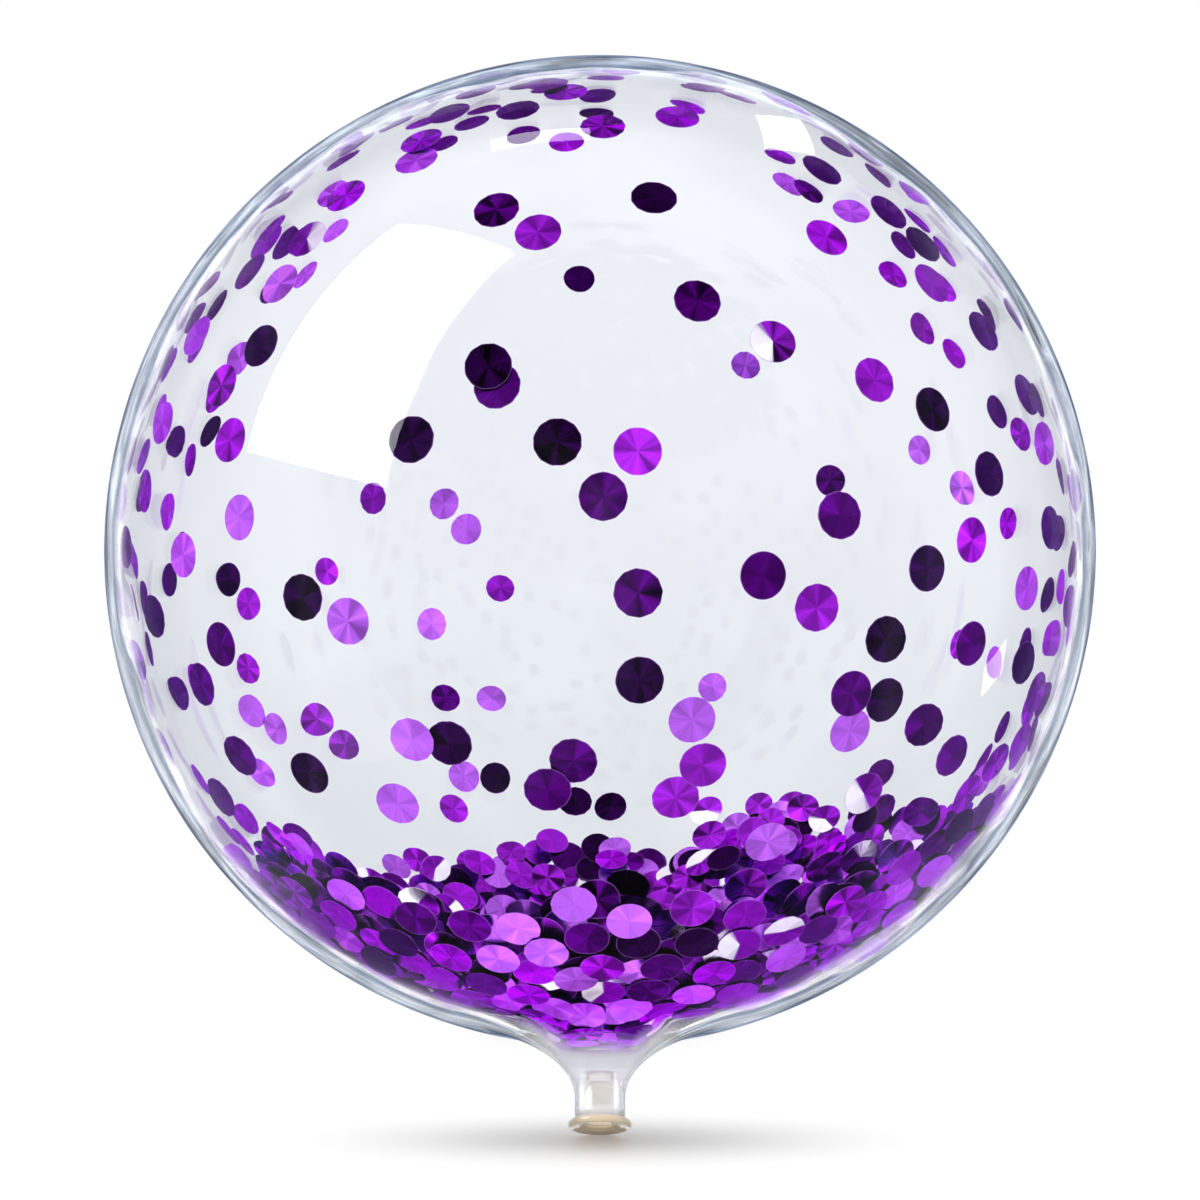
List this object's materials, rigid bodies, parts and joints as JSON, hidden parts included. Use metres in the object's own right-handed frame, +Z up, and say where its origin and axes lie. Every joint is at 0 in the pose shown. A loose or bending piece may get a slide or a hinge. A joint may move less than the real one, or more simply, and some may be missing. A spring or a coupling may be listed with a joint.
{
  "type": "clear bubble balloon with confetti",
  "caption": "Clear inflated bubble balloon lying loose, with an open flared neck, a tan sleeve with a rolled rim in it, and round purple foil confetti clinging inside.",
  "frame": {"origin": "on the floor, straight below the centre of the ball, in the middle of the flat spot that it lies on", "axes": "+Z up; the neck points towards -Y and down at 54.6 degrees below level; +X to the right seen from the neck's side"},
  "size_m": [0.4496, 0.4496, 0.4491],
  "materials": {
    "clear_film": "glossy clear film with a faint blue tint",
    "tan_sleeve": "glossy clear plastic with a tan tint",
    "purple_foil": "mirror-bright purple foil"
  },
  "bodies": {
    "root": {"bubble_film": "clear_film", "bubble_film_neck": "clear_film", "mouth_sleeve": "tan_sleeve", "confetti_dot_01": "purple_foil", "confetti_dot_02": "purple_foil", "confetti_dot_03": "purple_foil", "confetti_dot_04": "purple_foil", "confetti_dot_05": "purple_foil", "confetti_dot_06": "purple_foil", "confetti_dot_07": "purple_foil", "confetti_dot_08": "purple_foil", "confetti_dot_09": "purple_foil", "confetti_dot_10": "purple_foil", "confetti_dot_11": "purple_foil", "confetti_dot_12": "purple_foil", "confetti_dot_13": "purple_foil", "confetti_dot_14": "purple_foil", "confetti_dot_15": "purple_foil", "confetti_dot_16": "purple_foil", "confetti_dot_17": "purple_foil", "confetti_dot_18": "purple_foil", "confetti_dot_19": "purple_foil", "confetti_dot_20": "purple_foil", "confetti_dot_21": "purple_foil", "confetti_dot_22": "purple_foil", "confetti_dot_23": "purple_foil", "confetti_dot_24": "purple_foil", "confetti_dot_25": "purple_foil", "confetti_dot_26": "purple_foil", "confetti_dot_27": "purple_foil", "confetti_dot_28": "purple_foil", "confetti_dot_29": "purple_foil", "confetti_dot_30": "purple_foil", "confetti_dot_31": "purple_foil", "confetti_dot_32": "purple_foil", "confetti_dot_33": "purple_foil", "confetti_dot_34": "purple_foil", "confetti_dot_35": "purple_foil", "confetti_dot_36": "purple_foil", "confetti_dot_37": "purple_foil", "confetti_dot_38": "purple_foil", "confetti_dot_39": "purple_foil", "confetti_dot_40": "purple_foil", "confetti_dot_41": "purple_foil", "confetti_dot_42": "purple_foil", "confetti_dot_43": "purple_foil", "confetti_dot_44": "purple_foil", "confetti_dot_45": "purple_foil", "confetti_dot_46": "purple_foil", "confetti_dot_47": "purple_foil", "confetti_dot_48": "purple_foil"}
  },
  "joints": []
}
